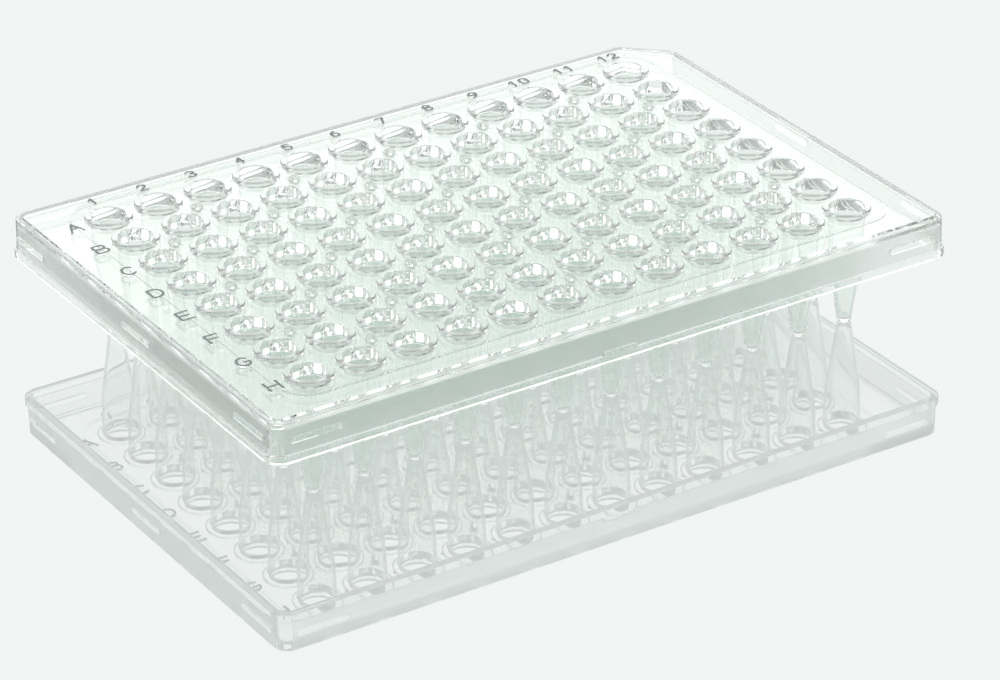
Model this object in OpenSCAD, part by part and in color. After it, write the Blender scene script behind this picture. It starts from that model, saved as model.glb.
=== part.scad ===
// A 96-well thin-wall plate with a short skirt, moulded in one piece of clear plastic.
// The origin is on the surface the plate stands on, under the middle of the wells.
// X runs along the numbered columns, Y points to row A, and Z points up.

/* [Overall] */
// Length over the foot band, along the numbered columns
foot_l = 124.6; // [124:0.1:160]
// Width over the foot band, along the lettered rows
foot_w = 85; // [84:0.1:110]
// Height from the tube tips to the top of the rims
plate_h = 20.5; // [18:0.1:26]
// Corner radius of the foot band
corner_r = 3; // [2:0.1:5]
// Leg of the corner cut off beside the last well of row A
cut_corner = 7.4; // [4:0.1:9]

/* [Deck] */
// Thickness of the deck
deck_t = 1.7; // [1:0.1:2]
// Width of the ledge that runs round the deck
ledge_w = 1.05; // [0.5:0.05:2]
// Drop from the deck to the ledge
ledge_drop = 0.5; // [0.2:0.05:0.8]

/* [Skirt] */
// Depth of the skirt below the deck's top
skirt_h = 7.1; // [5:0.1:12]
// Thickness of the skirt's wall
wall_t = 1; // [0.6:0.1:1.6]
// How far the foot band stands out from the wall
foot_out = 0.45; // [0.2:0.05:0.8]
// Height of the foot band
foot_h = 1.45; // [0.8:0.05:2.5]

/* [Wells] */
// Number of columns
columns = 12; // [4:1:12]
// Number of rows
rows = 8; // [4:1:8]
// Distance between the centres of neighbouring wells
pitch = 9; // [8.6:0.1:9]
// Radius of a well's mouth
mouth_r = 2.88; // [2.6:0.02:3.1]
// Width of the raised rim round the mouth
rim_w = 1.05; // [0.6:0.05:1.2]
// Height of the rim above the deck
rim_h = 0.55; // [0.3:0.05:1]
// Thickness of the tube's wall
tube_t = 0.32; // [0.2:0.02:0.5]
// Length of the tube's cone, above its tip
cone_h = 12; // [9:0.5:13]
// Outside radius of the tube's tip
tip_r = 1.3; // [1.1:0.05:1.5]
// Radius of the rounded edge of the tip
tip_edge_r = 0.8; // [0.4:0.05:0.9]
// Thickness of the tip's bottom
tip_t = 0.55; // [0.3:0.05:0.8]

/* [Eyelets and beads] */
// Outside radius of the small eyelets between the wells
eyelet_r = 1.02; // [0.8:0.02:1.3]
// Height of the eyelets above the deck
eyelet_h = 0.43; // [0.1:0.01:0.55]
// Radius of the hole through each eyelet and the deck
eyelet_hole_r = 0.82; // [0.3:0.02:0.9]
// Distance from the outer wells' centres to the line moulded round all the wells
border_gap = 5.85; // [5:0.05:6.2]
// Corner radius of that line
border_r = 5; // [3:0.1:6]
// Width of that line
border_w = 0.45; // [0.3:0.05:0.8]
// Length of the short bars on the skirt
bar_l = 9; // [6:0.5:12]
// Width of the short bars
bar_w = 0.95; // [0.6:0.05:1.4]
// How far the bars stand out from the skirt
bar_out = 0.25; // [0.1:0.05:0.4]
// Distance from the middle of the end bars to the end of the plate
bar_inset = 7.6; // [7:0.1:12]
// Width of the flat gate pad at the front of the skirt
gate_w = 6.3; // [4:0.1:10]

/* [Lettering] */
// Height of the raised lines and letters above the deck
relief_h = 0.2; // [0.1:0.05:0.3]
// Width of a letter's stroke
stroke_w = 0.42; // [0.3:0.02:0.5]
// Height of the row letters
letter_h = 3; // [2.4:0.1:3.4]
// Width of the row letters
letter_w = 2.5; // [2:0.1:2.8]
// Height of the column numbers
digit_h = 2.4; // [2:0.1:3]
// Width of one digit
digit_w = 1.7; // [1.4:0.1:2]
// Distance from the outer wells' centres to the middle of the numbers and letters
label_gap = 6.4; // [6:0.1:6.6]

/* [Hidden] */
// Sides of a full circle
$fn = 48;
// How far one shape is sunk into another that it joins
sink = 0.1;
// How far a cut runs past the face it opens
past = 1;

deck_z = plate_h - rim_h;
ledge_z = deck_z - ledge_drop;
deck_under_z = deck_z - deck_t;
skirt_z = deck_z - skirt_h;
foot_top_z = skirt_z + foot_h;
rim_r = mouth_r + rim_w;
rim_edge_r = 0.35;
array_l = (columns - 1) * pitch;
array_w = (rows - 1) * pitch;

// The tube's radii, from the mouth down to the cone and the tip
throat_r = mouth_r - 0.14;
neck_r = mouth_r - 0.33;
collar_z = deck_under_z - 0.95;
tip_bore_r = tip_r - 0.35;
tip_bore_z = tip_t + 0.8;

// The bars sit on the skirt's wall, a little nearer to the foot band than to the ledge
bar_z = foot_top_z + 0.44 * (ledge_z - foot_top_z);

// The gate pad is a little to the left of the middle
gate_x = -0.95;
gate_h = 0.6;

function along(i, count) = (i - (count - 1) / 2) * pitch;
function quarter(centre, r, from, steps = 6) =
    [for (i = [0:steps]) centre + r * [cos(from + 90 * i / steps), sin(from + 90 * i / steps)]];

// ---- Outline of the plate, at a distance inside the foot band's outer edge ----

module outline(inset) {
    half_l = foot_l / 2 - inset;
    half_w = foot_w / 2 - inset;
    r = max(corner_r - inset, 0.5);
    cut = cut_corner - inset * (2 - sqrt(2));
    for (side = [[-1, -1], [1, -1], [-1, 1]])
        translate([side.x * (half_l - r), side.y * (half_w - r)])
            circle(r);
    polygon([
        [-half_l + r, -half_w],
        [half_l - r, -half_w],
        [half_l, -half_w + r],
        [half_l, half_w - cut],
        [half_l - cut, half_w],
        [-half_l + r, half_w],
        [-half_l, half_w - r],
        [-half_l, -half_w + r]
    ]);
}

module layer(from_z, to_z, inset)
    translate([0, 0, from_z])
        linear_extrude(to_z - from_z)
            outline(inset);

// ---- Deck and skirt: an open box with a stepped edge and a foot band ----

module box() {
    difference() {
        union() {
            layer(skirt_z, foot_top_z, 0);
            layer(skirt_z, ledge_z, foot_out);
            layer(skirt_z, deck_z, foot_out + ledge_w);
            gate_pad();
        }
        layer(skirt_z - past, deck_under_z, foot_out + wall_t);
    }
}

// The mould's gate leaves a flat pad that fills the step above the foot band
module gate_pad()
    translate([gate_x - gate_w / 2, -foot_w / 2, foot_top_z - sink])
        cube([gate_w, foot_out + sink, gate_h]);

// ---- Wells ----

module at_wells()
    for (c = [0:columns - 1], r = [0:rows - 1])
        translate([along(c, columns), along(r, rows)])
            children();

// One closed section, turned round the well's axis: outside from the tip up, then inside down
module tube()
    rotate_extrude()
        polygon(concat(
            [[0, 0]],
            quarter([tip_r - tip_edge_r, tip_edge_r], tip_edge_r, 270),
            [
                [neck_r + tube_t, cone_h],
                [throat_r + tube_t + 0.04, collar_z],
                [throat_r + tube_t + 0.08, deck_under_z - 0.15],
                [throat_r + tube_t + 0.25, deck_under_z + 0.02],
                [rim_r, deck_under_z + 0.1]
            ],
            quarter([rim_r - rim_edge_r, plate_h - rim_edge_r], rim_edge_r, 0),
            [
                [mouth_r, plate_h],
                [throat_r, collar_z],
                [neck_r, cone_h],
                [tip_bore_r, tip_bore_z]
            ],
            [for (a = [75:-15:0]) [tip_bore_r * sin(a), tip_bore_z - (tip_bore_z - tip_t) * cos(a)]]
        ));

// ---- Raised details on the deck ----

// Every other crossing between four wells has a small vent hole with a raised edge
module at_eyelets()
    for (c = [0:columns - 2], r = [0:rows - 2])
        if ((c + r + rows) % 2 == 1)
            translate([along(c, columns - 1), along(r, rows - 1)])
                children();

module eyelets()
    at_eyelets()
        translate([0, 0, deck_z - sink])
            cylinder(r = eyelet_r, h = eyelet_h + sink);

module eyelet_holes()
    at_eyelets()
        translate([0, 0, deck_under_z - past])
            cylinder(r = eyelet_hole_r, h = deck_t + eyelet_h + 2 * past);

module rounded_rectangle(l, w, r) {
    square([l - 2 * r, w], center = true);
    square([l, w - 2 * r], center = true);
    for (x = [-1, 1], y = [-1, 1])
        translate([x * (l / 2 - r), y * (w / 2 - r)])
            circle(r);
}

module border() {
    l = array_l + 2 * border_gap;
    w = array_w + 2 * border_gap;
    difference() {
        rounded_rectangle(l + border_w, w + border_w, border_r + border_w / 2);
        rounded_rectangle(l - border_w, w - border_w, border_r - border_w / 2);
    }
}

// ---- Lettering: each character is a list of strokes in a unit square ----

function arc(centre, r, from, to, steps = 8) =
    [for (i = [0:steps])
        let (a = from + (to - from) * i / steps)
            [centre.x + r.x * cos(a), centre.y + r.y * sin(a)]];

// A closed stroke ends where it starts
CHARACTERS = [
    ["0", [concat(arc([0.5, 0.7], [0.5, 0.3], 0, 180), arc([0.5, 0.3], [0.5, 0.3], 180, 360), [[1, 0.7]])]],
    ["1", [[[0.15, 0.75], [0.55, 1], [0.55, 0]]]],
    ["2", [concat(arc([0.5, 0.7], [0.5, 0.3], 170, -35), [[0, 0], [1, 0]])]],
    ["3", [arc([0.45, 0.76], [0.5, 0.24], 150, -90), arc([0.45, 0.26], [0.55, 0.26], 90, -150)]],
    ["4", [[[0.72, 0], [0.72, 1]], [[0.72, 1], [0, 0.3], [1, 0.3]]]],
    ["5", [concat([[0.95, 1], [0.15, 1], [0.08, 0.52]], arc([0.45, 0.32], [0.55, 0.32], 110, -150))]],
    ["6", [arc([0.5, 0.3], [0.5, 0.3], 0, 360, 16), arc([0.96, 0.34], [0.9, 0.66], 172, 103, 5)]],
    ["7", [[[0, 1], [1, 1], [0.35, 0]]]],
    ["8", [arc([0.5, 0.76], [0.42, 0.24], 0, 360, 14), arc([0.5, 0.27], [0.5, 0.27], 0, 360, 16)]],
    ["9", [arc([0.5, 0.7], [0.5, 0.3], 0, 360, 16), arc([0.04, 0.66], [0.9, 0.66], -8, -77, 5)]],
    ["A", [[[0, 0], [0.5, 0.87], [1, 0]], [[0.17, 0.28], [0.83, 0.28]]]],
    ["B", [
        concat([[0, 0.53]], arc([0.55, 0.765], [0.35, 0.235], -90, 90), [[0, 1], [0, 0.53]]),
        concat([[0, 0]], arc([0.6, 0.265], [0.4, 0.265], -90, 90), [[0, 0.53], [0, 0]])
    ]],
    ["C", [arc([0.52, 0.5], [0.52, 0.5], 45, 315, 12)]],
    ["D", [concat([[0, 0]], arc([0.45, 0.5], [0.55, 0.5], -90, 90, 10), [[0, 1], [0, 0]])]],
    ["E", [[[1, 1], [0, 1], [0, 0], [1, 0]], [[0, 0.52], [0.85, 0.52]]]],
    ["F", [[[1, 1], [0, 1], [0, 0]], [[0, 0.52], [0.85, 0.52]]]],
    ["G", [concat(arc([0.52, 0.5], [0.52, 0.5], 45, 330, 12), [[1, 0.45], [0.55, 0.45]])]],
    ["H", [[[0, 0], [0, 1]], [[1, 0], [1, 1]], [[0, 0.52], [1, 0.52]]]]
];

function unit(v) = v / norm(v);
function left_of(v) = [-v.y, v.x];

// Offset of one point of a path: along the mitre between the steps that meet there
function mitre(before, after) =
    let (n1 = left_of(unit(before)), n2 = left_of(unit(after)), n = unit(n1 + n2))
        n / (n * n1);

function side_line(path, gap) =
    let (last = len(path) - 1, closed = norm(path[0] - path[last]) < 0.001)
        [for (i = [0:last])
            let (
                before = i > 0 ? path[i] - path[i - 1] : closed ? path[0] - path[last - 1] : path[1] - path[0],
                after = i < last ? path[i + 1] - path[i] : closed ? path[1] - path[0] : before
            )
                path[i] + gap * mitre(before, after)];

function backwards(list) = [for (i = [len(list) - 1:-1:0]) list[i]];

module stroke(path) {
    last = len(path) - 1;
    closed = norm(path[0] - path[last]) < 0.001;
    left = side_line(path, stroke_w / 2);
    right = side_line(path, -stroke_w / 2);
    if (closed) {
        difference() {
            polygon([for (i = [1:last]) right[i]]);
            polygon([for (i = [1:last]) left[i]]);
        }
    } else {
        polygon(concat(left, backwards(right)));
    }
}

// One character, centred, with its strokes' outer edges at the given width and height
module character(name, w, h) {
    strokes = CHARACTERS[search([name], CHARACTERS)[0]][1];
    scale_xy = [w - stroke_w, h - stroke_w];
    for (path = strokes)
        stroke([for (p = path) [(p.x - 0.5) * scale_xy.x, (p.y - 0.5) * scale_xy.y]]);
}

module number(value) {
    name = str(value);
    step = digit_w * 1.25;
    for (i = [0:len(name) - 1])
        translate([(i - (len(name) - 1) / 2) * step, 0])
            character(name[i], digit_w, digit_h);
}

module labels() {
    for (c = [0:columns - 1])
        translate([along(c, columns) + 0.5, array_w / 2 + label_gap])
            number(c + 1);
    for (r = [0:rows - 1])
        translate([-array_l / 2 - label_gap, along(rows - 1 - r, rows) - 0.4])
            character(chr(65 + r), letter_w, letter_h);
}

module relief()
    translate([0, 0, deck_z - sink])
        linear_extrude(relief_h + sink) {
            border();
            labels();
        }

// ---- Short bars near the skirt's corners and half way along its short sides ----

module bar()
    translate([-bar_l / 2, -sink, -bar_w / 2])
        cube([bar_l, bar_out + sink, bar_w]);

module bars() {
    wall_l = foot_l / 2 - foot_out;
    wall_w = foot_w / 2 - foot_out;
    for (x = [-1, 1])
        translate([x * (foot_l / 2 - bar_inset), -wall_w, bar_z])
            rotate([0, 0, 180])
                bar();
    translate([-foot_l / 2 + bar_inset, wall_w, bar_z])
        bar();
    for (y = [-foot_w / 2 + bar_inset, 0])
        translate([wall_l, y, bar_z])
            rotate([0, 0, -90])
                bar();
    for (y = [-foot_w / 2 + bar_inset, 0, foot_w / 2 - bar_inset])
        translate([-wall_l, y, bar_z])
            rotate([0, 0, 90])
                bar();
}

// ---- The moulding ----

module well_plate()
    color([0.9, 0.95, 0.93, 0.6])
        union() {
            difference() {
                union() {
                    box();
                    eyelets();
                }
                translate([0, 0, deck_under_z - past])
                    linear_extrude(deck_t + 2 * past)
                        at_wells()
                            circle(mouth_r + tube_t / 2);
                eyelet_holes();
            }
            at_wells() tube();
            relief();
            bars();
        }

well_plate();
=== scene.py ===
# %% [markdown]
# # A clear 96-well plate
# The plate is one moulding of clear polypropylene. 96 thin tubes hang from a flat deck, each mouth has a
# raised rim that a sealing film is pressed on, and a short skirt with a foot band stiffens the edge.
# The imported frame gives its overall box, and every other size below is a real size in millimetres.

import math

import bmesh
import bpy
from mathutils import Matrix, Vector
from mathutils.geometry import delaunay_2d_cdt


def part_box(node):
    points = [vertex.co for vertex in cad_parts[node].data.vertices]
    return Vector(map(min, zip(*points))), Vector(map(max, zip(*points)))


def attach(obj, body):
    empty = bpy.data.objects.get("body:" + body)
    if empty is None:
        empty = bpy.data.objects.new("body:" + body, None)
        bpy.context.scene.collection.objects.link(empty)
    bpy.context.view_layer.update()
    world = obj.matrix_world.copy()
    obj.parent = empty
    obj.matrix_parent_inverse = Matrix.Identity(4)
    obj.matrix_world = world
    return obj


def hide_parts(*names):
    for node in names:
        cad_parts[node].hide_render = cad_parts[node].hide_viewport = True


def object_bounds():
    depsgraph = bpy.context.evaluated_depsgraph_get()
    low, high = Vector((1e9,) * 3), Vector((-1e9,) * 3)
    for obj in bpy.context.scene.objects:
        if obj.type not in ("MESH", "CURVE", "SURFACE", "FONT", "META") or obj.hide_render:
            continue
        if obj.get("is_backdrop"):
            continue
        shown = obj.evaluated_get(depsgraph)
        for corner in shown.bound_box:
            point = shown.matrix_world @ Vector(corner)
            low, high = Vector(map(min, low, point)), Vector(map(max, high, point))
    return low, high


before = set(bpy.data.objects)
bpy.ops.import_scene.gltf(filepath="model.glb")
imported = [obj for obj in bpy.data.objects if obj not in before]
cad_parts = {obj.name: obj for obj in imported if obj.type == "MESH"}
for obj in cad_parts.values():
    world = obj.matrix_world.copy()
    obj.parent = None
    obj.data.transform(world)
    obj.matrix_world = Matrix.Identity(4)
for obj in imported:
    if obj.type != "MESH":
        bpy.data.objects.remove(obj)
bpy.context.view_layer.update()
MM = 0.001
LENGTH, WIDTH, HEIGHT = [(high - low) / MM for low, high in zip(*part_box("well_plate"))]
print(f"CAD box {LENGTH:.2f} x {WIDTH:.2f} x {HEIGHT:.2f} mm")

# %% [markdown]
# ## Sizes
# The tubes stand on a 9 mm square grid, which is the standard of every 96-well plate. Heights are counted
# up from the surface that the tube tips stand on, and insets are counted in from the foot band's face.

# %% Sizes of the moulding, in millimetres
COLUMNS, ROWS, PITCH = 12, 8, 9.0
MOUTH_R, RIM_W, RIM_H = 2.88, 1.05, 0.55
RIM_R = MOUTH_R + RIM_W
DECK_T, LEDGE_W, LEDGE_DROP = 1.7, 1.05, 0.5
SKIRT_H, WALL_T, FOOT_OUT, FOOT_H, DRAFT = 7.1, 1.0, 0.45, 1.45, 0.1
CORNER_R, CUT_CORNER, CUT_R = 3.0, 7.4, 1.0
EYELET_R, EYELET_H, EYELET_HOLE_R = 1.02, 0.43, 0.82
DECK_Z = HEIGHT - RIM_H
UNDER_Z = DECK_Z - DECK_T
LEDGE_Z = DECK_Z - LEDGE_DROP
SKIRT_Z = DECK_Z - SKIRT_H
FOOT_Z = SKIRT_Z + FOOT_H
ARRAY_L, ARRAY_W = (COLUMNS - 1) * PITCH, (ROWS - 1) * PITCH
ROOT_R, UNDER_R = RIM_R + 0.02, 3.3
AROUND, CORNER_STEPS, CUT_STEPS = 32, 6, 3
WELD = 2e-6
print(f"deck top at {DECK_Z:.2f} mm, skirt edge at {SKIRT_Z:.2f} mm, wells over {ARRAY_L:.0f} mm")


def along(index, count):
    return (index - (count - 1) / 2) * PITCH


# %% [markdown]
# ## One well
# A tube and its rim are round, so half of their section is drawn once and turned. The section has two
# parts: the skin that the liquid and the film meet, and the outer skin that the cycler block meets. They
# stay open where they run into the deck, so that the plate becomes one closed skin with no wall inside.

# %% Turn a section round the Z axis
def arc(centre, radius, start, end, steps):
    angles = [math.radians(start + (end - start) * k / steps) for k in range(steps + 1)]
    return [(centre[0] + radius * math.cos(a), centre[1] + radius * math.sin(a)) for a in angles]


def turned(name, sections, around):
    """A thin shape from half sections of (radius, height) points. A radius of 0 closes it in one point."""
    shape = bmesh.new()
    for section in sections:
        rings = []
        for radius, height in section:
            count = around if radius > 0 else 1
            turns = [2 * math.pi * k / around for k in range(count)]
            spots = [(radius * math.cos(a), radius * math.sin(a), height) for a in turns]
            rings.append([shape.verts.new(spot) for spot in spots])
        for low, high in zip(rings, rings[1:]):
            for k in range(around):
                corners = [low[k % len(low)], low[(k + 1) % len(low)]]
                corners += [high[(k + 1) % len(high)], high[k % len(high)]]
                shape.faces.new(list(dict.fromkeys(corners)))
    for vertex in shape.verts:
        vertex.co *= MM
    mesh = bpy.data.meshes.new(name)
    shape.to_mesh(mesh)
    shape.free()
    return bpy.data.objects.new(name, mesh)


# %% The two sections of a well, as (radius, height) in millimetres
RIM_EDGE_R = 0.35
well_inside = [
    (ROOT_R, DECK_Z),
    (RIM_R, DECK_Z + 0.02),
    *arc((RIM_R - RIM_EDGE_R, HEIGHT - RIM_EDGE_R), RIM_EDGE_R, 0, 90, 5),
    (MOUTH_R + 0.12, HEIGHT),
    (MOUTH_R + 0.03, HEIGHT - 0.03),
    (MOUTH_R, HEIGHT - 0.12),
    (2.74, 17.3),
    (2.55, 12.0),
    (0.95, 1.35),
    (0.82, 0.95),
    (0.48, 0.66),
    (0, 0.55),
]
well_outside = [
    (UNDER_R, UNDER_Z),
    (3.2, UNDER_Z - 0.04),
    (3.14, UNDER_Z - 0.15),
    (3.1, 17.3),
    (2.87, 12.0),
    (1.32, 1.1),
    *arc((0.5, 0.8), 0.8, -8, -90, 4),
    (0, 0),
]
well = turned("well", [well_inside, well_outside], AROUND)
print("one well:", len(well.data.polygons), "faces")

# %% [markdown]
# ## One eyelet
# A small hole with a raised edge stands at every other crossing between four wells. It breaks the light
# that is trapped between the deck's two faces. It is round too, so it is turned as the well is, with
# fewer faces because it is small.

# %% Eyelet
EYELET_AROUND, EYELET_EDGE = 20, 0.06
EYELET_ROOT_R, EYELET_TOP = EYELET_R + 0.02, DECK_Z + EYELET_H
eyelet_skin = [
    (EYELET_ROOT_R, DECK_Z),
    (EYELET_R, DECK_Z + 0.02),
    (EYELET_R, EYELET_TOP - EYELET_EDGE),
    (EYELET_R - EYELET_EDGE, EYELET_TOP),
    (EYELET_HOLE_R + EYELET_EDGE, EYELET_TOP),
    (EYELET_HOLE_R, EYELET_TOP - EYELET_EDGE),
    (EYELET_HOLE_R, UNDER_Z),
]
eyelet = turned("eyelet", [eyelet_skin], EYELET_AROUND)
print("one eyelet:", len(eyelet.data.polygons), "faces")

# %% [markdown]
# ## Sheets with raised lettering
# The deck and the skirt's four sides are flat sheets with holes and with low raised shapes on them. A
# constrained triangulation fills the sheet between all the outlines at once, and tells which outlines hold
# each triangle. Triangles of a raised shape are lifted, and a small wall closes the step.

# %% Sort the triangles of a flat sheet
def area_of(outline):
    return sum(a[0] * b[1] - b[0] * a[1] for a, b in zip(outline, outline[1:] + outline[:1])) / 2


def filled(loops):
    """The points, the triangles, and for each triangle the numbers of the outlines that hold it."""
    points, faces = [], []
    for loop in loops:
        loop = loop if area_of([tuple(p) for p in loop]) > 0 else loop[::-1]
        faces.append(list(range(len(points), len(points) + len(loop))))
        points += [Vector((p[0], p[1])) for p in loop]
    flat, _, triangles, _, _, holders = delaunay_2d_cdt(points, [], faces, 1, 1e-5)
    return flat, triangles, [set(held) for held in holders]


def lift_of(held, hole_count, raised):
    """How far a triangle is lifted, or None where there is no plastic. Outline 0 is the sheet's edge."""
    if 0 not in held or any(1 <= h <= hole_count for h in held):
        return None
    height, at = 0.0, 1 + hole_count
    for lift, group in raised:
        inside = sum(at + k in held for k in range(len(group)))
        is_ring = lift < 0
        if inside and not (is_ring and inside != 1):
            height = max(height, abs(lift))
        at += len(group)
    return height


# %% Make a sheet with its raised shapes
def relief_sheet(shape, place, outer, holes=(), raised=(), ink_loops=0):
    """raised holds (height, loops), where a negative height means a ring between two loops.

    The first ink_loops of the raised loops get ink on their tops.
    """
    flat, triangles, holders = filled([outer, *holes] + [loop for _, group in raised for loop in group])
    first_raised = 1 + len(holes)
    ink_numbers = set(range(first_raised, first_raised + ink_loops))
    ink_layer = shape.faces.layers.float.get("ink") or shape.faces.layers.float.new("ink")
    made, edges = {}, {}

    def corner(index, height):
        key = (index, height)
        if key not in made:
            made[key] = shape.verts.new(Vector(place(flat[index].x, flat[index].y, height)) * MM)
        return made[key]

    for triangle, held in zip(triangles, holders):
        height = lift_of(held, len(holes), raised)
        if height is None:
            continue
        top = shape.faces.new([corner(k, height) for k in triangle])
        if held & ink_numbers:
            top[ink_layer] = 1.0
        for a, b in zip(triangle, triangle[1:] + triangle[:1]):
            edges[a, b] = height
    for (a, b), height in edges.items():
        other = edges.get((b, a), height)
        if other < height:
            shape.faces.new([corner(a, other), corner(b, other), corner(b, height), corner(a, height)])


def circle(x, y, radius, around):
    angles = [2 * math.pi * k / around for k in range(around)]
    return [(x + radius * math.cos(a), y + radius * math.sin(a)) for a in angles]


# %% [markdown]
# ## Lettering
# Rows are lettered and columns numbered so that a well can be named. In the mould the characters are cut
# with a round-ended tool, so each stroke here is a path of short round-ended bars, and where they overlap
# they are one raised shape.

# %% Characters as paths in a unit square
def bow(x, y, wide, tall, start, end, steps=7):
    angles = [math.radians(start + (end - start) * k / steps) for k in range(steps + 1)]
    return [(x + wide * math.cos(a), y + tall * math.sin(a)) for a in angles]


CHARACTERS = {
    "0": [bow(0.5, 0.7, 0.5, 0.3, 0, 180) + bow(0.5, 0.3, 0.5, 0.3, 180, 360) + [(1, 0.7)]],
    "1": [[(0.15, 0.75), (0.55, 1), (0.55, 0)]],
    "2": [bow(0.5, 0.7, 0.5, 0.3, 170, -35) + [(0, 0), (1, 0)]],
    "3": [bow(0.45, 0.76, 0.5, 0.24, 150, -90), bow(0.45, 0.26, 0.55, 0.26, 90, -150)],
    "4": [[(0.72, 0), (0.72, 1), (0, 0.3), (1, 0.3)]],
    "5": [[(0.95, 1), (0.15, 1), (0.08, 0.52)] + bow(0.45, 0.32, 0.55, 0.32, 110, -150)],
    "6": [bow(0.5, 0.3, 0.5, 0.3, 0, 360, 12), bow(1, 0.3, 1, 0.7, 180, 105, 4)],
    "7": [[(0, 1), (1, 1), (0.35, 0)]],
    "8": [bow(0.5, 0.76, 0.42, 0.24, 0, 360, 12), bow(0.5, 0.27, 0.5, 0.27, 0, 360, 12)],
    "9": [bow(0.5, 0.7, 0.5, 0.3, 0, 360, 12), bow(0, 0.7, 1, 0.7, 0, -75, 4)],
    "A": [[(0, 0), (0.5, 1), (1, 0)], [(0.17, 0.33), (0.83, 0.33)]],
    "B": [
        [(0, 0), (0, 1)] + bow(0.55, 0.765, 0.35, 0.235, 90, -90) + [(0, 0.53)],
        [(0.55, 0.53)] + bow(0.6, 0.265, 0.4, 0.265, 90, -90) + [(0, 0)],
    ],
    "C": [bow(0.52, 0.5, 0.52, 0.5, 45, 315, 10)],
    "D": [[(0, 0), (0, 1)] + bow(0.45, 0.5, 0.55, 0.5, 90, -90, 9) + [(0, 0)]],
    "E": [[(1, 1), (0, 1), (0, 0), (1, 0)], [(0, 0.52), (0.85, 0.52)]],
    "F": [[(1, 1), (0, 1), (0, 0)], [(0, 0.52), (0.85, 0.52)]],
    "G": [bow(0.52, 0.5, 0.52, 0.5, 45, 330, 10) + [(1, 0.45), (0.55, 0.45)]],
    "H": [[(0, 0), (0, 1)], [(1, 0), (1, 1)], [(0, 0.52), (1, 0.52)]],
}
print("characters drawn:", "".join(CHARACTERS))

# %% Write the row letters and the column numbers
STROKE_W, RELIEF_H = 0.42, 0.2
LETTER_W, LETTER_H, DIGIT_W, DIGIT_H = 2.5, 3.0, 1.7, 2.4
LABEL_GAP, DIGIT_STEP, DIGIT_SHIFT, LETTER_SHIFT = 6.4, 1.25, 0.5, -0.4
END_STEPS = 4


def bar(start, end, width):
    """A straight bar with round ends, as an outline."""
    start, end = Vector(start), Vector(end)
    turn = math.atan2(end.y - start.y, end.x - start.x)
    outline = []
    for centre, facing in ((end, turn), (start, turn + math.pi)):
        for k in range(END_STEPS + 1):
            angle = facing + math.pi * (k / END_STEPS - 0.5)
            outline.append((centre.x + width / 2 * math.cos(angle), centre.y + width / 2 * math.sin(angle)))
    return outline


def character(name, x, y, wide, tall):
    bars = []
    for path in CHARACTERS[name]:
        path = [(x + (u - 0.5) * (wide - STROKE_W), y + (v - 0.5) * (tall - STROKE_W)) for u, v in path]
        bars += [bar(a, b, STROKE_W) for a, b in zip(path, path[1:])]
    return bars


def labels():
    bars = []
    for column in range(COLUMNS):
        name = str(column + 1)
        for k, digit in enumerate(name):
            x = along(column, COLUMNS) + DIGIT_SHIFT + (k - (len(name) - 1) / 2) * DIGIT_W * DIGIT_STEP
            bars += character(digit, x, ARRAY_W / 2 + LABEL_GAP, DIGIT_W, DIGIT_H)
    for row in range(ROWS):
        y = along(ROWS - 1 - row, ROWS) + LETTER_SHIFT
        bars += character("ABCDEFGH"[row], -ARRAY_L / 2 - LABEL_GAP, y, LETTER_W, LETTER_H)
    return bars


characters = labels()
print("strokes in the lettering:", len(characters))

# %% [markdown]
# ## Outline of the plate
# All the edges that run round the plate are one outline at different insets. A helper draws a polygon and
# puts an arc at each corner. One corner is cut off, so that the plate can't be put in the wrong way round.

# %% Round the corners of a polygon
def rounded(corners):
    """corners holds (x, y, radius, steps). No radius and no steps leave a corner sharp."""
    outline = []
    for k, (x, y, radius, steps) in enumerate(corners):
        here = Vector((x, y))
        before = (here - Vector(corners[k - 1][:2])).normalized()
        after = (Vector(corners[(k + 1) % len(corners)][:2]) - here).normalized()
        turn = math.atan2(before.cross(after), before.dot(after))
        start = here - before * radius * math.tan(turn / 2)
        centre = start + Vector((-before.y, before.x)) * radius
        for step in range(steps + 1):
            spin = Matrix.Rotation(turn * step / max(steps, 1), 2)
            outline.append(tuple(centre + spin @ (start - centre)))
    return outline


# %% Outline of the plate at an inset
GATE_X, GATE_W, GATE_H = -0.95, 6.3, 0.6
GATE_FROM, GATE_TO = GATE_X - GATE_W / 2, GATE_X + GATE_W / 2
LEAST_CORNER_R = 0.3


def plate_outline(inset):
    """The gate pad's ends are points of the outline. The cut corner's face moves in by the inset too."""
    half_l, half_w = LENGTH / 2 - inset, WIDTH / 2 - inset
    radius = max(CORNER_R - inset, LEAST_CORNER_R)
    cut = CUT_CORNER - inset * (2 - math.sqrt(2))
    return rounded([
        (-half_l, -half_w, radius, CORNER_STEPS),
        (GATE_FROM, -half_w, 0, 0),
        (GATE_TO, -half_w, 0, 0),
        (half_l, -half_w, radius, CORNER_STEPS),
        (half_l, half_w - cut, CUT_R, CUT_STEPS),
        (half_l - cut, half_w, CUT_R, CUT_STEPS),
        (-half_l, half_w, radius, CORNER_STEPS),
    ])


# Places in the outline's list of points where each straight side starts and ends
FRONT, GATE, FRONT_END = CORNER_STEPS, CORNER_STEPS + 1, CORNER_STEPS + 3
RIGHT = FRONT_END + CORNER_STEPS
RIGHT_END, BACK = RIGHT + 1, RIGHT + 2 * (CUT_STEPS + 1)
BACK_END, LEFT, LEFT_END = BACK + 1, BACK + 1 + CORNER_STEPS, 0
print("outline points:", len(plate_outline(0)))

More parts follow.
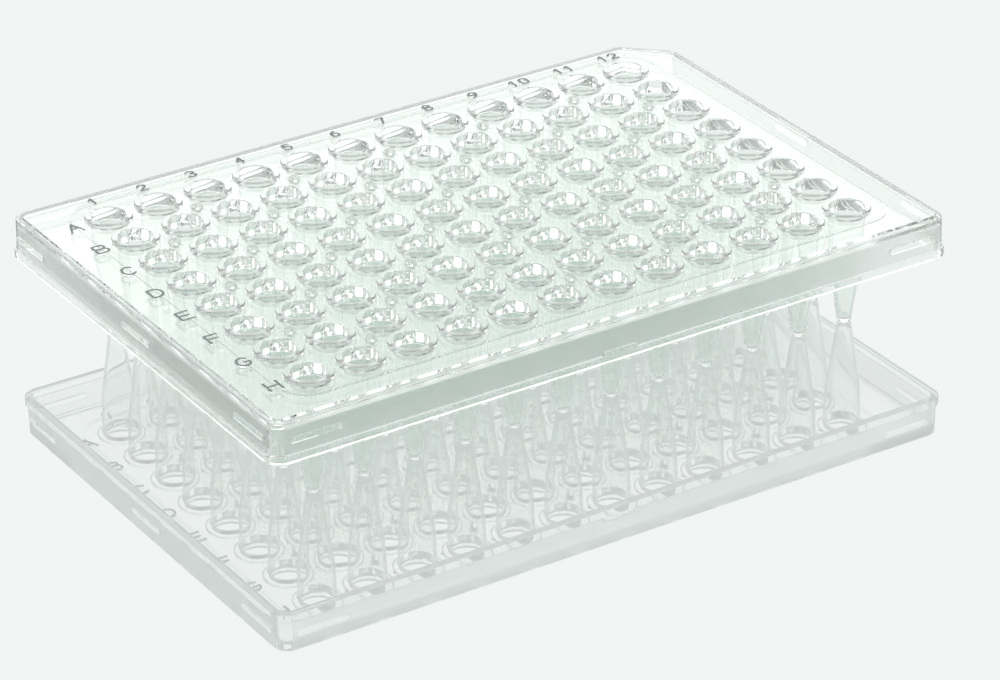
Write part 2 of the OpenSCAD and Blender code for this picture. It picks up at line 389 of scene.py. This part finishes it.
# %% [markdown]
# ## Deck and skirt
# The skirt's section runs from the deck's edge, down a step, over a ledge, down the wall with its draft,
# round the foot band and up inside. Each point of that section is one ring round the plate, which keeps
# every edge parallel. Bevels could round the edges instead, but they would need a solid block first. The
# four long walls are left open in that strip, and filled later with sheets that carry short raised bars.

# %% The skirt's section, as (inset, height) in millimetres
PLATFORM = FOOT_OUT + LEDGE_W
WALL_TOP = FOOT_OUT + DRAFT / 2
WALL_FOOT = FOOT_OUT - DRAFT / 2
skirt = [
    (PLATFORM + 0.08, DECK_Z),
    (PLATFORM + 0.02, DECK_Z - 0.02),
    (PLATFORM, DECK_Z - 0.08),
    (PLATFORM, LEDGE_Z + 0.06),
    (PLATFORM - 0.02, LEDGE_Z + 0.02),
    (PLATFORM - 0.06, LEDGE_Z),
    (WALL_TOP + 0.15, LEDGE_Z),
    (WALL_TOP + 0.04, LEDGE_Z - 0.04),
    (WALL_TOP, LEDGE_Z - 0.15),
    (WALL_FOOT, FOOT_Z + 0.08),
    (WALL_FOOT - 0.06, FOOT_Z),
    (0.25, FOOT_Z),
    (0.08, FOOT_Z - 0.07),
    (0.0, FOOT_Z - 0.25),
    (0.0, SKIRT_Z + 0.12),
    (0.04, SKIRT_Z + 0.03),
    (0.14, SKIRT_Z),
    (WALL_FOOT + WALL_T - 0.12, SKIRT_Z),
    (WALL_FOOT + WALL_T, SKIRT_Z + 0.12),
    (WALL_TOP + WALL_T, UNDER_Z - 0.4),
    (WALL_TOP + WALL_T + 0.12, UNDER_Z - 0.12),
    (WALL_TOP + WALL_T + 0.4, UNDER_Z),
]
print("points in the skirt's section:", len(skirt))

# %% Rings round the plate
# The wall starts at point 8 of the section, and the gate pad hides the foot band from point 9 to point 13
WALL_RING, GATE_RINGS = 8, range(9, 13)
SIDES = {FRONT, GATE, GATE + 1, RIGHT, BACK, LEFT}
body = bmesh.new()
rings = [[Vector((x, y, height)) * MM for x, y in plate_outline(inset)] for inset, height in skirt]
for level, (low, high) in enumerate(zip(rings, rings[1:])):
    for k in range(len(low)):
        on_wall = level == WALL_RING and k in SIDES
        on_gate = level in GATE_RINGS and k == GATE
        if not on_wall and not on_gate:
            n = (k + 1) % len(low)
            body.faces.new([body.verts.new(p) for p in (low[k], low[n], high[n], high[k])])
print("skirt:", len(body.faces), "faces")

# %% [markdown]
# ## Gate pad
# Melted plastic enters the mould through a gate, and where it is broken off a small flat pad is left on
# the foot band. The pad fills the foot band's rounded upper edge there. It is two end faces, a front and a
# top, and the rings above leave that place open for it.

# %% Gate pad
GATE_TOP = FOOT_Z + GATE_H


def wall_inset(height):
    share = (height - skirt[WALL_RING + 1][1]) / (skirt[WALL_RING][1] - skirt[WALL_RING + 1][1])
    return WALL_FOOT + (WALL_TOP - WALL_FOOT) * share


gate_line = [skirt[k] for k in range(GATE_RINGS.start, GATE_RINGS.stop + 1)]
gate_line += [(0.0, GATE_TOP), (wall_inset(GATE_TOP), GATE_TOP)]
left_side = [(GATE_FROM, inset - WIDTH / 2, height) for inset, height in gate_line]
right_side = [(GATE_TO, y, z) for _, y, z in left_side]
for side in (left_side, right_side):
    body.faces.new([body.verts.new(Vector(p) * MM) for p in side])
front, top = len(gate_line) - 3, len(gate_line) - 2
for k in (front, top):
    quad = (left_side[k], right_side[k], right_side[k + 1], left_side[k + 1])
    body.faces.new([body.verts.new(Vector(p) * MM) for p in quad])
print(f"gate pad {GATE_W} mm wide, up to {GATE_TOP:.2f} mm")

# %% [markdown]
# ## Walls with their short bars
# Short raised bars on the skirt's walls may give fingers some hold. Each wall is a relief sheet that stands
# on edge: along the wall, up the wall, and out of it. The relief keeps the bars part of the same skin,
# which a clear material needs, because a bar laid on the wall would show a face inside it.

# %% Walls with their short bars
BAR_L, BAR_W, BAR_OUT, BAR_INSET = 9.0, 0.95, 0.25, 7.6
BAR_Z = FOOT_Z + 0.44 * (LEDGE_Z - FOOT_Z)
BAR_REACH = BAR_L / 2 - 0.4


def wall_sheet(start, end, places, along_x, outward, gate=False):
    """start and end are places in the outline, and places are the middles of the bars along the wall."""
    top, foot = plate_outline(skirt[WALL_RING][0]), plate_outline(skirt[WALL_RING + 1][0])
    top_z, foot_z = skirt[WALL_RING][1], skirt[WALL_RING + 1][1]
    axis = 0 if along_x else 1
    outer = [(foot[start][axis], foot_z)]
    if gate:
        outer += [(GATE_FROM, foot_z), (GATE_FROM, GATE_TOP), (GATE_TO, GATE_TOP), (GATE_TO, foot_z)]
    outer += [(foot[end][axis], foot_z), (top[end][axis], top_z)]
    if gate:
        outer += [(GATE_TO, top_z), (GATE_FROM, top_z)]
    outer += [(top[start][axis], top_z)]
    half = WIDTH / 2 if along_x else LENGTH / 2

    def place(u, v, height):
        away = outward * (half - wall_inset(v) + height)
        return (u, away, v) if along_x else (away, u, v)

    bars = [bar((at - BAR_REACH, BAR_Z), (at + BAR_REACH, BAR_Z), BAR_W) for at in places]
    relief_sheet(body, place, outer, raised=[(BAR_OUT, bars)])


end_x, end_y = LENGTH / 2 - BAR_INSET, WIDTH / 2 - BAR_INSET
wall_sheet(FRONT, FRONT_END, [-end_x, end_x], True, -1, gate=True)
wall_sheet(RIGHT, RIGHT_END, [-end_y, 0], False, 1)
wall_sheet(BACK, BACK_END, [-end_x], True, 1)
wall_sheet(LEFT, LEFT_END, [-end_y, 0, end_y], False, -1)
print("skirt with its walls:", len(body.faces), "faces")

# %% [markdown]
# ## Deck
# The deck's top carries the characters and a fine line round all the wells, and both its faces have a
# hole for each tube and each eyelet. The holes have as many points as the tubes and the eyelets, so that
# the Geometry Nodes tree can weld them together later.

# %% Places of the wells and the eyelets, and the line round them
BORDER_GAP, BORDER_R, BORDER_W = 5.85, 5.0, 0.45


def border(grow):
    half_l, half_w = ARRAY_L / 2 + BORDER_GAP + grow, ARRAY_W / 2 + BORDER_GAP + grow
    corners = [(-half_l, -half_w), (half_l, -half_w), (half_l, half_w), (-half_l, half_w)]
    return rounded([(x, y, BORDER_R + grow, CORNER_STEPS) for x, y in corners])


centres = [(along(c, COLUMNS), along(r, ROWS)) for c in range(COLUMNS) for r in range(ROWS)]
crossings = [
    (along(c, COLUMNS - 1), along(r, ROWS - 1))
    for c in range(COLUMNS - 1)
    for r in range(ROWS - 1)
    if (c + r) % 2
]
print(len(centres), "wells,", len(crossings), "eyelets")

# %% The deck's top and underside
well_holes = [circle(x, y, ROOT_R, AROUND) for x, y in centres]
eyelet_holes = [circle(x, y, EYELET_ROOT_R, EYELET_AROUND) for x, y in crossings]
relief = [(RELIEF_H, characters), (-RELIEF_H, [border(BORDER_W / 2), border(-BORDER_W / 2)])]
relief_sheet(
    body,
    lambda x, y, height: (x, y, DECK_Z + height),
    plate_outline(skirt[0][0]),
    well_holes + eyelet_holes,
    relief,
    ink_loops=len(characters),
)
under_holes = [circle(x, y, UNDER_R, AROUND) for x, y in centres]
under_holes += [circle(x, y, EYELET_HOLE_R, EYELET_AROUND) for x, y in crossings]
relief_sheet(body, lambda x, y, height: (x, y, UNDER_Z), plate_outline(skirt[-1][0]), under_holes)
bmesh.ops.remove_doubles(body, verts=body.verts, dist=WELD)
body_mesh = bpy.data.meshes.new("plate_body")
body.to_mesh(body_mesh)
body.free()
plate_body = bpy.data.objects.new("plate_body", body_mesh)
bpy.context.scene.collection.objects.link(plate_body)
print("deck and skirt:", len(body_mesh.polygons), "faces")

# %% [markdown]
# ## Colour and nodes
# Colours are sRGB hex values. Blender's sockets are linear, so one function turns them. Another adds a node
# with its settings and links in one call.

# %% Helpers for colours and nodes
def linear(hex_colour):
    values = [int(hex_colour[k:k + 2], 16) / 255 for k in (1, 3, 5)]
    return [v / 12.92 if v <= 0.04045 else ((v + 0.055) / 1.055) ** 2.4 for v in values] + [1.0]


def add_node(tree, kind, settings=None, **sockets):
    """Adds a node. settings are its attributes, and each socket gets a value or another node's output."""
    node = tree.nodes.new(kind)
    for name, value in (settings or {}).items():
        setattr(node, name, value)
    for name, value in sockets.items():
        name = name.replace("_", " ")
        found = node.inputs[int(name)] if name.isdigit() else node.inputs[name]
        if isinstance(value, bpy.types.NodeSocket):
            tree.links.new(value, found)
        else:
            found.default_value = value
    return node


def new_material(name):
    material = bpy.data.materials.new(name)
    material.use_nodes = True
    material.node_tree.nodes.clear()
    return material, material.node_tree


print("a middle grey, linear:", round(linear("#808080")[0], 3))

# %% [markdown]
# ## Clear polypropylene
# Plates that are heated and cooled are moulded in clear polypropylene. It is almost colourless, with a
# faint green where light crosses many walls. The polished mould leaves smooth faces with a very slight
# waviness from the flow of the melt. Full transmission lets the tubes behind show, and does more than a
# transparent mix, because it bends the light at every wall. Two values stored on the mesh's faces change
# the finish: "matte" for the skirt's walls, which a spark-eroded mould leaves dull, and "ink" for the
# characters' grey print.

# %% The finish's patterns and where they lie
# A wave of the flow is 5.556 mm long and 0.02 mm deep. A spot of the spark-eroded grain is 0.1667 mm wide:
# the real grain is several times finer, and is drawn as coarse as it needs to be to show.
FLOW_SIZE, FLOW_DEPTH, FLOW_SHARE = 5.556, 0.02, 0.15
GRAIN_SIZE, DULL_LOW, DULL_HIGH = 0.1667, 0.35, 0.65
plastic, tree = new_material("clear_polypropylene")
place = add_node(tree, "ShaderNodeTexCoord").outputs["Object"]
matte = add_node(tree, "ShaderNodeAttribute", {"attribute_name": "matte"}).outputs["Fac"]
ink = add_node(tree, "ShaderNodeAttribute", {"attribute_name": "ink"}).outputs["Fac"]
flow = add_node(tree, "ShaderNodeTexNoise", Vector=place, Scale=1 / (FLOW_SIZE * MM), Detail=2.0)
waviness = add_node(
    tree, "ShaderNodeBump", Height=flow.outputs[0], Strength=FLOW_SHARE, Distance=FLOW_DEPTH * MM
)
grain = add_node(tree, "ShaderNodeTexNoise", Vector=place, Scale=1 / (GRAIN_SIZE * MM), Detail=1.0)
patchy = add_node(tree, "ShaderNodeMapRange", Value=grain.outputs[0], To_Min=DULL_LOW, To_Max=DULL_HIGH)
print("finish: roughness from", DULL_LOW, "to", DULL_HIGH, "on matte walls and ink")

# %% Clear polypropylene
# The index of refraction is that of the plastic. Polish is roughness 0.03, and the print is 80% opaque
PLASTIC_IOR, POLISH, PRINT_COVER = 1.49, 0.03, 0.8
clear_tone, ink_tone = linear("#FAFDFB"), linear("#737F7B")
tone = add_node(tree, "ShaderNodeMix", {"data_type": "RGBA"}, **{"0": ink, "6": clear_tone, "7": ink_tone})
dull = add_node(tree, "ShaderNodeMath", {"operation": "MAXIMUM"}, **{"0": matte, "1": ink}).outputs[0]
rough = add_node(
    tree,
    "ShaderNodeMath",
    {"operation": "MULTIPLY_ADD"},
    **{"0": dull, "1": patchy.outputs[0], "2": POLISH},
)
see_through = add_node(
    tree, "ShaderNodeMath", {"operation": "MULTIPLY_ADD"}, **{"0": ink, "1": -PRINT_COVER, "2": 1.0}
)
shader = add_node(
    tree,
    "ShaderNodeBsdfPrincipled",
    Base_Color=tone.outputs[2],
    Roughness=rough.outputs[0],
    IOR=PLASTIC_IOR,
    Transmission_Weight=see_through.outputs[0],
    Normal=waviness.outputs[0],
)
add_node(tree, "ShaderNodeOutputMaterial", Surface=shader.outputs[0])
print("clear polypropylene:", len(tree.nodes), "nodes")

# %% [markdown]
# ## The grid of wells
# The wells and the eyelets repeat, so a Geometry Nodes tree puts them in place: a well at each point of
# the grid, and an eyelet at every other crossing between four wells. It realizes them and welds them to
# the deck's holes. Copies made in a loop would do as well, but a tree's inputs can be changed later.

# %% The tree's inputs
def group_input(tree, name, kind, default=None):
    socket = tree.interface.new_socket(name, in_out="INPUT", socket_type=kind)
    if default is not None:
        socket.default_value = default
    return socket.identifier


tree = bpy.data.node_groups.new("wells_on_a_grid", "GeometryNodeTree")
tree.is_modifier = True
ids = {"Geometry": group_input(tree, "Geometry", "NodeSocketGeometry")}
for name, kind, default in (
    ("Columns", "NodeSocketInt", COLUMNS),
    ("Rows", "NodeSocketInt", ROWS),
    ("Pitch", "NodeSocketFloat", PITCH * MM),
    ("Weld distance", "NodeSocketFloat", WELD),
    ("Well", "NodeSocketObject", None),
    ("Eyelet", "NodeSocketObject", None),
    ("Plastic", "NodeSocketMaterial", None),
):
    ids[name] = group_input(tree, name, kind, default)
tree.interface.new_socket("Geometry", in_out="OUTPUT", socket_type="NodeSocketGeometry")
given = add_node(tree, "NodeGroupInput").outputs
print("inputs:", ", ".join(ids))


# %% Two helpers for the tree
def math_node(operation, a, b=0.0):
    return add_node(tree, "ShaderNodeMath", {"operation": operation}, **{"0": a, "1": b}).outputs[0]


def grid_of(columns, rows, item, selection=None):
    """Puts the item at the points of a grid, or at the selected ones."""
    grid = add_node(
        tree,
        "GeometryNodeMeshGrid",
        Size_X=math_node("MULTIPLY", math_node("SUBTRACT", columns, 1.0), given["Pitch"]),
        Size_Y=math_node("MULTIPLY", math_node("SUBTRACT", rows, 1.0), given["Pitch"]),
        Vertices_X=columns,
        Vertices_Y=rows,
    )
    shape = add_node(tree, "GeometryNodeObjectInfo", Object=item)
    spots = add_node(
        tree,
        "GeometryNodeInstanceOnPoints",
        Points=grid.outputs["Mesh"],
        Instance=shape.outputs["Geometry"],
    )
    if selection is not None:
        tree.links.new(selection, spots.inputs["Selection"])
    return spots.outputs["Instances"]


# %% Wells on the grid, eyelets at every other crossing, and the weld
spot = add_node(tree, "GeometryNodeInputPosition").outputs[0]
position = add_node(tree, "ShaderNodeSeparateXYZ", Vector=spot)
steps = math_node("DIVIDE", math_node("ADD", position.outputs["X"], position.outputs["Y"]), given["Pitch"])
is_odd = math_node("FLOORED_MODULO", math_node("ROUND", steps), 2.0)
wells = grid_of(given["Columns"], given["Rows"], given["Well"])
fewer = [math_node("SUBTRACT", given[name], 1.0) for name in ("Columns", "Rows")]
eyelets = grid_of(*fewer, given["Eyelet"], is_odd)
joined = add_node(tree, "GeometryNodeJoinGeometry")
for part in (given["Geometry"], wells, eyelets):
    tree.links.new(part, joined.inputs[0])
real = add_node(tree, "GeometryNodeRealizeInstances", Geometry=joined.outputs[0])
welded = add_node(
    tree, "GeometryNodeMergeByDistance", Geometry=real.outputs[0], Distance=given["Weld distance"]
)
finish = add_node(tree, "GeometryNodeSetMaterial", Geometry=welded.outputs[0], Material=given["Plastic"])
add_node(tree, "NodeGroupOutput", Geometry=finish.outputs[0])
print("the tree has", len(tree.nodes), "nodes")

# %% Run the tree on the deck and skirt
array = plate_body.modifiers.new("wells", "NODES")
array.node_group = tree
array[ids["Well"]], array[ids["Eyelet"]], array[ids["Plastic"]] = well, eyelet, plastic
array[ids["Columns"]], array[ids["Rows"]], array[ids["Pitch"]] = COLUMNS, ROWS, PITCH * MM
array[ids["Weld distance"]] = WELD
graph = bpy.context.evaluated_depsgraph_get()
mesh = bpy.data.meshes.new_from_object(plate_body.evaluated_get(graph))
for spare in (plate_body, well, eyelet):
    bpy.data.objects.remove(spare)
print("welded:", len(mesh.polygons), "faces")

# %% [markdown]
# ## One closed skin
# Light bends at every face of a clear thing, so the plate has to be one closed skin with all its faces
# pointing out. The faces of the skirt's walls are marked for the matte finish. Weighted normals keep the
# flat faces flat and let only the small rounded edges catch the light.

# %% Normals, the matte walls, and a count of open edges
MATTE_MARGIN, SHARP_ANGLE = 0.1, 50
skin = bmesh.new()
skin.from_mesh(mesh)
bmesh.ops.recalc_face_normals(skin, faces=skin.faces)
matte_layer = skin.faces.layers.float.new("matte")
for face in skin.faces:
    x, y, z = face.calc_center_median() / MM
    off_wall = max(abs(x) - LENGTH / 2, abs(y) - WIDTH / 2) + FOOT_OUT
    if abs(off_wall) < DRAFT and FOOT_Z + MATTE_MARGIN < z < LEDGE_Z - MATTE_MARGIN:
        face[matte_layer] = 1.0
print("matte faces:", sum(face[matte_layer] > 0 for face in skin.faces))
open_edges = [edge for edge in skin.edges if len(edge.link_faces) != 2]
volume = skin.calc_volume() / MM**3
print("open edges:", len(open_edges), "volume mm3:", round(volume, 1), "faces:", len(skin.faces))
skin.to_mesh(mesh)
skin.free()

# %% The finished piece
mesh.name = "clear_plate"
clear_plate = bpy.data.objects.new("clear_plate", mesh)
bpy.context.scene.collection.objects.link(clear_plate)
mesh.shade_smooth()
mesh.set_sharp_from_angle(angle=math.radians(SHARP_ANGLE))
weighted = clear_plate.modifiers.new("flat faces stay flat", "WEIGHTED_NORMAL")
weighted.keep_sharp = True
print("triangles:", sum(len(p.vertices) - 2 for p in mesh.polygons))
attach(clear_plate, "root")
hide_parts("well_plate")

# %% [markdown]
# ## Floor
# The plate stands on a sheet of glossy white acrylic that is lit from below. The sheet glows evenly, so
# the plate throws no shadow on it, and its polished face mirrors the plate faintly. A diffuse white floor
# would show a shadow, so an emission is mixed with a little mirror instead.

# %% Floor
FLOOR_TONE, FLOOR_LIGHT, FLOOR_MIRROR, FLOOR_POLISH = "#F3FAF8", 0.66, 0.22, 0.01
REACH = 4.0
floor_mesh = bpy.data.meshes.new("floor")
corners = [(-REACH, -REACH, 0), (REACH, -REACH, 0), (REACH, REACH, 0), (-REACH, REACH, 0)]
floor_mesh.from_pydata(corners, [], [(0, 1, 2, 3)])
floor = bpy.data.objects.new("floor", floor_mesh)
bpy.context.scene.collection.objects.link(floor)
acrylic, tree = new_material("backlit_glossy_acrylic")
glow = add_node(tree, "ShaderNodeEmission", Color=linear(FLOOR_TONE), Strength=FLOOR_LIGHT)
polish = add_node(tree, "ShaderNodeBsdfGlossy", Color=linear("#FFFFFF"), Roughness=FLOOR_POLISH)
surface = add_node(
    tree, "ShaderNodeMixShader", **{"0": FLOOR_MIRROR, "1": glow.outputs[0], "2": polish.outputs[0]}
)
add_node(tree, "ShaderNodeOutputMaterial", Surface=surface.outputs[0])
floor_mesh.materials.append(acrylic)
floor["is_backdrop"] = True
print("floor:", 2 * REACH, "m across")

# %% [markdown]
# ## Camera
# A long lens looks down at the plate from the front left, so that the tubes show below the skirt. The
# camera is placed by a target, two angles and a distance, which are easier to change than a place.

# %% Camera
TARGET = Vector((-20.0, -38.1, DECK_Z)) * MM
AZIMUTH, ELEVATION, ROLL = math.radians(-32.07), math.radians(27.985), math.radians(-0.844)
DISTANCE, LENS, SENSOR = 0.6964, 166.2, 36
level = math.cos(ELEVATION)
back = Vector((math.sin(AZIMUTH) * level, -math.cos(AZIMUTH) * level, math.sin(ELEVATION)))
camera = bpy.data.objects.new("camera", bpy.data.cameras.new("camera"))
bpy.context.scene.collection.objects.link(camera)
camera.data.lens = LENS
camera.data.sensor_width = SENSOR
camera.location = TARGET + back * DISTANCE
camera.rotation_mode = "QUATERNION"
tilt = Matrix.Rotation(ROLL, 3, "Z").to_quaternion()
camera.rotation_quaternion = (-back).to_track_quat("-Z", "Y") @ tilt
camera.data.clip_start, camera.data.clip_end = 0.01, 20
bpy.context.scene.camera = camera
print("camera at", [round(value, 3) for value in camera.location], "m")

# %% [markdown]
# ## Light
# The plate stands in a white tent. A bright panel behind it makes the sheen on the deck, and the side where
# the camera stands is darker, which draws thin dark lines along the edges. The tent is the world's
# background, and its strength is a sum of soft round patches. Lamps would throw shadows on the plate.

# %% The tent's directions
# Each patch is (azimuth, elevation, outer angle, inner angle, strength), in degrees
TENT, TENT_TONE = 0.9, "#FFFFFF"
PATCHES = [
    (0, 28, 34, 20, 1.0),
    (180, 5, 75, 40, -0.8),
]
world = bpy.data.worlds.new("studio")
bpy.context.scene.world = world
world.use_nodes = True
tree = world.node_tree
tree.nodes.clear()
facing = add_node(tree, "ShaderNodeTexCoord").outputs["Generated"]
ahead = Vector((-back.x, -back.y, 0)).normalized()


def direction(azimuth, elevation):
    """A unit vector, from degrees to the left of straight ahead and degrees above the floor."""
    flat = Matrix.Rotation(math.radians(azimuth), 3, "Z") @ ahead
    rise = math.radians(elevation)
    return Vector((flat.x * math.cos(rise), flat.y * math.cos(rise), math.sin(rise)))


def soft_patch(azimuth, elevation, outer, inner):
    """One inside the inner angle from a direction, falling smoothly to nothing at the outer angle."""
    toward = tuple(direction(azimuth, elevation))
    along_it = add_node(
        tree, "ShaderNodeVectorMath", {"operation": "DOT_PRODUCT"}, **{"0": facing, "1": toward}
    )
    return add_node(
        tree,
        "ShaderNodeMapRange",
        {"interpolation_type": "SMOOTHSTEP"},
        Value=along_it.outputs["Value"],
        From_Min=math.cos(math.radians(outer)),
        From_Max=math.cos(math.radians(inner)),
    ).outputs[0]


# %% The tent
strength = TENT
for azimuth, elevation, outer, inner, power in PATCHES:
    patch = soft_patch(azimuth, elevation, outer, inner)
    strength = add_node(
        tree, "ShaderNodeMath", {"operation": "MULTIPLY_ADD"}, **{"0": patch, "1": power, "2": strength}
    ).outputs[0]
studio = add_node(tree, "ShaderNodeBackground", Color=linear(TENT_TONE), Strength=strength)
add_node(tree, "ShaderNodeOutputWorld", Surface=studio.outputs[0])
print("tent:", len(PATCHES), "patches")

# %% [markdown]
# ## Paths of light
# Light crosses dozens of faces on its way through the tubes, so paths are allowed many bounces. Clear
# walls block a ray that is sent straight to a light, so the sheet and the tent are only found by following
# paths, and the time for such rays is saved.

# %% Paths of light
BOUNCES = 64
world.cycles.sampling_method = "NONE"
acrylic.cycles.emission_sampling = "NONE"
scene = bpy.context.scene
scene.cycles.max_bounces = BOUNCES
scene.cycles.transmission_bounces = BOUNCES
scene.cycles.glossy_bounces = BOUNCES
scene.cycles.diffuse_bounces = 3
scene.cycles.caustics_reflective = True
scene.cycles.caustics_refractive = True
scene.view_settings.view_transform = "Standard"
print("bounces:", BOUNCES)

# %% [markdown]
# ## Sizes
# Both boxes are printed: the imported model's box near the top, and the visual model's box here.
# The visual model has to keep the imported model's box.

# %% Sizes, and the end
low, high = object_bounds()
print("visual box, mm:", [round((h - l) / MM, 2) for l, h in zip(low, high)])
